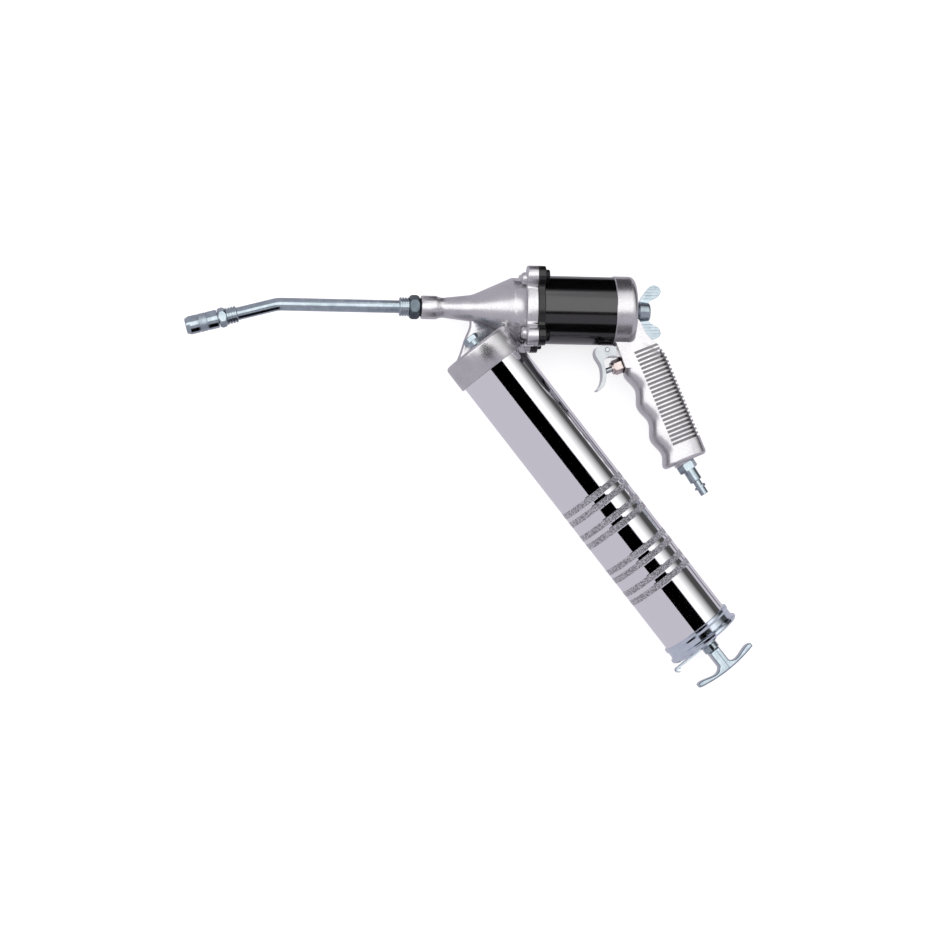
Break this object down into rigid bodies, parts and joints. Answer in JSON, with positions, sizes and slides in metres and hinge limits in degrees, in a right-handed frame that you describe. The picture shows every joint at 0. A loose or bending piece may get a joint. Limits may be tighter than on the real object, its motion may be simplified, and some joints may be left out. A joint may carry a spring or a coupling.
{
  "type": "grease gun",
  "caption": "Air-operated grease gun with pistol grip, black air cylinder, chromed slanted grease barrel and bent delivery pipe with a jaw coupler.",
  "frame": {"origin": "middle of the bounding box in plan, on the bench that the gun lies on", "axes": "gun lies on its right side: +X along the air cylinder towards the grip, +Y the gun's own up, +Z out of its left side"},
  "size_m": [0.4568, 0.3338, 0.0637],
  "materials": {
    "cast_aluminium": "satin die casting, shot blasted and clear coated",
    "machined_aluminium": "turned",
    "black_cylinder": "satin black anodised",
    "chrome_barrel": "bright chrome plate",
    "zinc_plate": "bright blue-white zinc plate",
    "zinc_pipe": "drawn tube, blue-white zinc plate",
    "dark_steel": "black oxide with an oil sheen",
    "black_screws": "black oxide",
    "bright_steel": "ground steel",
    "spring_steel": "spring wire",
    "polished_trigger": "polished and plated casting",
    "nickel_brass": "nickel-plated brass",
    "valve_stem_steel": "ground stainless steel",
    "brass": "turned",
    "black_rubber": "moulded rubber",
    "gasket_fibre": "pressed fibre",
    "screen_mesh": "sintered bronze"
  },
  "bodies": {
    "gun_frame": {"head_casting": "cast_aluminium", "check_seat": "bright_steel", "check_spring": "spring_steel", "snout_washer": "black_rubber", "pipe_hex_adapter": "dark_steel", "pipe_ribbed_nut": "zinc_plate", "delivery_pipe": "zinc_pipe", "coupler_collar_nut": "zinc_plate", "coupler_hex_adapter": "zinc_plate", "coupler_sleeve": "zinc_plate", "coupler_spring": "spring_steel", "flange_gasket": "gasket_fibre", "cylinder_flange_ring": "black_cylinder", "air_cylinder": "black_cylinder", "flange_screws": "black_screws", "plunger_seal": "black_rubber", "plunger_gland": "brass", "return_spring": "spring_steel", "handle_casting": "cast_aluminium", "trigger_pin": "bright_steel", "valve_washer": "black_rubber", "valve_body": "nickel_brass", "valve_spring": "spring_steel", "air_inlet_plug": "zinc_plate", "inlet_screen": "screen_mesh", "bleeder_washer": "zinc_plate", "bleeder_valve": "zinc_plate", "bleeder_button": "bright_steel"},
    "check_ball": {"check_ball": "bright_steel"},
    "coupler_grip": {"coupler_jaws": "bright_steel", "coupler_seal": "black_rubber"},
    "piston": {"pump_plunger": "bright_steel", "air_piston": "machined_aluminium", "piston_seal": "black_rubber", "piston_nut": "bright_steel"},
    "trigger": {"trigger": "polished_trigger"},
    "valve_stem": {"valve_stem": "valve_stem_steel", "valve_seal": "black_rubber"},
    "stop_pad": {"stroke_stop_pad": "black_rubber"},
    "wing_screw": {"wing_screw": "zinc_plate"},
    "barrel_ring": {"barrel_gasket": "black_rubber"},
    "barrel": {"barrel_tube": "chrome_barrel", "barrel_end_cap": "zinc_plate", "rod_guide_bush": "zinc_plate", "follower_spring": "spring_steel"},
    "rod": {"follower_rod": "bright_steel", "rod_handle": "zinc_plate", "follower_plate": "bright_steel", "follower_cup": "black_rubber", "follower_nut": "bright_steel"},
    "latch": {"rod_latch": "zinc_plate"}
  },
  "joints": [
    {"name": "trigger_pull", "type": "hinge", "parent": "gun_frame", "child": "trigger", "pos_m": [0.10956, 0.10307, 0.03184], "axis": [0, 0, 1], "range_deg": [0, 8], "stiffness_Nm_per_rad": 0.6, "springref_deg": -11.46},
    {"name": "valve_stem_slide", "type": "slide", "parent": "gun_frame", "child": "valve_stem", "axis": [0.9219, 0.3875, 0], "range_m": [0, 0.0023], "deforming": ["valve_spring"]},
    {"name": "piston_stroke", "type": "slide", "parent": "gun_frame", "child": "piston", "axis": [-1, 0, 0], "range_m": [0, 0.024], "stiffness_N_per_m": 800, "springref_m": -0.01, "deforming": ["return_spring"]},
    {"name": "check_ball_lift", "type": "slide", "parent": "gun_frame", "child": "check_ball", "axis": [-1, 0, 0], "range_m": [0, 0.0015], "stiffness_N_per_m": 300, "springref_m": -0.002, "deforming": ["check_spring"]},
    {"name": "coupler_grip_slide", "type": "slide", "parent": "gun_frame", "child": "coupler_grip", "axis": [0.9659, 0.2588, 0], "range_m": [0, 0.0012], "stiffness_N_per_m": 800, "springref_m": -0.002, "deforming": ["coupler_spring"]},
    {"name": "stop_pad_slide", "type": "slide", "parent": "gun_frame", "child": "stop_pad", "axis": [1, 0, 0], "range_m": [0, 0.00255]},
    {"name": "wing_screw_turn", "type": "hinge", "parent": "stop_pad", "child": "wing_screw", "pos_m": [0.13176, 0.13507, 0.03184], "axis": [1, 0, 0], "range_deg": [0, 450]},
    {"name": "barrel_advance", "type": "slide", "parent": "gun_frame", "child": "barrel_ring", "axis": [0.6225, -0.7826, 0], "range_m": [0, 0.01005]},
    {"name": "barrel_unscrew", "type": "hinge", "parent": "barrel_ring", "child": "barrel", "pos_m": [0.01832, 0.08748, 0.03184], "axis": [0.6225, -0.7826, 0], "range_deg": [0, 1800]},
    {"name": "rod_pull", "type": "slide", "parent": "barrel", "child": "rod", "axis": [0.6225, -0.7826, 0], "range_m": [0, 0.2], "deforming": ["follower_spring"]},
    {"name": "latch_tilt", "type": "hinge", "parent": "barrel", "child": "latch", "pos_m": [0.19851, -0.1262, 0.03184], "axis": [0, 0, 1], "range_deg": [0, 3], "stiffness_Nm_per_rad": 0.5, "springref_deg": -8.59}
  ],
  "couplings": [
    {"joint": "valve_stem_slide", "follows": "trigger_pull", "m_per_rad": 0.015756},
    {"joint": "stop_pad_slide", "follows": "wing_screw_turn", "m_per_rad": 0.00031831},
    {"joint": "barrel_advance", "follows": "barrel_unscrew", "m_per_rad": 0.00031831}
  ]
}
